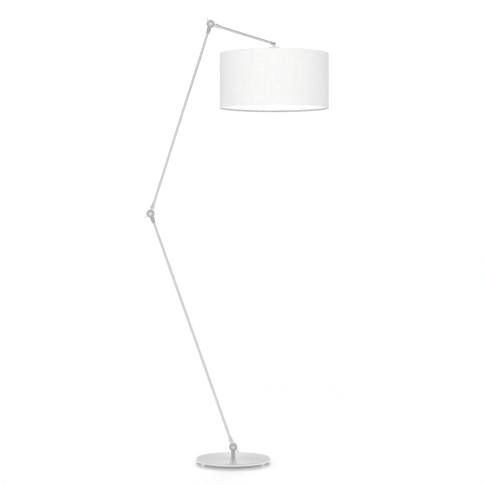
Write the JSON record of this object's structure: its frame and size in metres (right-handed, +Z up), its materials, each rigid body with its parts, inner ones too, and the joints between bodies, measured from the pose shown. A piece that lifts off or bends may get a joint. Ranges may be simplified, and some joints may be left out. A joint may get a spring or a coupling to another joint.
{
  "type": "adjustable arm floor lamp",
  "caption": "Floor lamp with a round steel base, two long arms and a short boom on clamped friction hinges, and a white drum shade on a tilt joint.",
  "frame": {"origin": "centre of the round base, on the floor that its three feet stand on", "axes": "+Z up, +X the way the boom and shade reach, -Y the front with the clamp levers; arms move in the XZ plane"},
  "size_m": [0.8426, 0.5008, 2.0411],
  "materials": {
    "satin_nickel_plate": "satin nickel on steel, fine turned brushing",
    "satin_nickel_tube": "satin nickel on steel tube, brushed lengthwise",
    "turned_nickel": "satin nickel on turned steel",
    "cast_nickel": "satin nickel on cast and machined metal, a little darker",
    "lever_nickel": "satin nickel, smooth",
    "plated_steel": "zinc or nickel plated",
    "dark_steel": "blackened",
    "friction_fibre": "pressed fibre",
    "clear_bumper": "translucent soft plastic",
    "black_rubber": "matt",
    "cable_sheath": "smooth sheath",
    "white_holder": "moulded thermoplastic",
    "ceramic_insert": "unglazed ceramic",
    "ring_wire": "nickel plated steel wire",
    "frosted_glass": "etched white inside",
    "shade_fabric": "fine plain weave, off-white",
    "shade_lining": "white laminate"
  },
  "bodies": {
    "base": {"base_plate": "satin_nickel_plate", "base_feet": "clear_bumper", "stem": "cast_nickel", "stem_bolt": "plated_steel", "stem_washer": "plated_steel", "cable_grommet": "black_rubber", "base_pivot_bolt": "plated_steel", "base_friction_linings": "friction_fibre", "base_thrust_washer": "plated_steel"},
    "lower_arm": {"lower_eye": "turned_nickel", "lower_tube": "satin_nickel_tube", "lower_fork": "cast_nickel", "lower_cable": "cable_sheath", "lower_set_screws": "plated_steel", "knee_pivot_bolt": "plated_steel", "knee_friction_linings": "friction_fibre", "knee_thrust_washer": "plated_steel"},
    "upper_arm": {"upper_eye": "turned_nickel", "upper_tube": "satin_nickel_tube", "upper_fork": "cast_nickel", "upper_cable": "cable_sheath", "upper_set_screws": "plated_steel", "top_pivot_bolt": "plated_steel", "top_friction_linings": "friction_fibre", "top_thrust_washer": "plated_steel"},
    "boom": {"boom_eye": "turned_nickel", "boom_tube": "satin_nickel_tube", "boom_cable": "cable_sheath", "boom_set_screw": "plated_steel", "boom_end_fork": "cast_nickel", "tilt_screw": "dark_steel", "tilt_nut": "plated_steel"},
    "lamp_head": {"tilt_eye": "turned_nickel", "canopy": "turned_nickel", "nipple": "plated_steel", "holder_cap": "white_holder", "holder_skirt": "white_holder", "holder_insert": "ceramic_insert", "shade_ring": "white_holder", "bulb_cap": "plated_steel", "bulb_globe": "frosted_glass", "spider": "ring_wire", "top_ring": "ring_wire", "bottom_ring": "ring_wire", "shade_fabric": "shade_fabric", "shade_lining": "shade_lining", "top_trim": "shade_fabric", "bottom_trim": "shade_fabric"},
    "base_lever": {"base_clamp_lever": "lever_nickel"},
    "knee_lever": {"knee_clamp_lever": "lever_nickel"},
    "top_lever": {"top_clamp_lever": "lever_nickel"}
  },
  "joints": [
    {"name": "base_hinge", "type": "hinge", "parent": "base", "child": "lower_arm", "pos_m": [0, 0, 0.0736], "axis": [0, 1, 0], "range_deg": [-20, 40]},
    {"name": "knee_hinge", "type": "hinge", "parent": "lower_arm", "child": "upper_arm", "pos_m": [-0.37906, 0, 1.1482], "axis": [0, 1, 0], "range_deg": [-37, 60]},
    {"name": "top_hinge", "type": "hinge", "parent": "upper_arm", "child": "boom", "pos_m": [-0.10315, 0, 2.01537], "axis": [0, 1, 0], "range_deg": [-70, 12]},
    {"name": "shade_tilt", "type": "hinge", "parent": "boom", "child": "lamp_head", "pos_m": [0.18821, 0, 1.92518], "axis": [0, 1, 0], "range_deg": [-45, 10]},
    {"name": "base_lever_turn", "type": "hinge", "parent": "base", "child": "base_lever", "pos_m": [0, 0, 0.0736], "axis": [0, 1, 0], "range_deg": [-60, 0]},
    {"name": "knee_lever_turn", "type": "hinge", "parent": "lower_arm", "child": "knee_lever", "pos_m": [-0.37906, 0, 1.1482], "axis": [0, 1, 0], "range_deg": [-60, 0]},
    {"name": "top_lever_turn", "type": "hinge", "parent": "upper_arm", "child": "top_lever", "pos_m": [-0.10315, 0, 2.01537], "axis": [0, 1, 0], "range_deg": [-60, 0]}
  ]
}
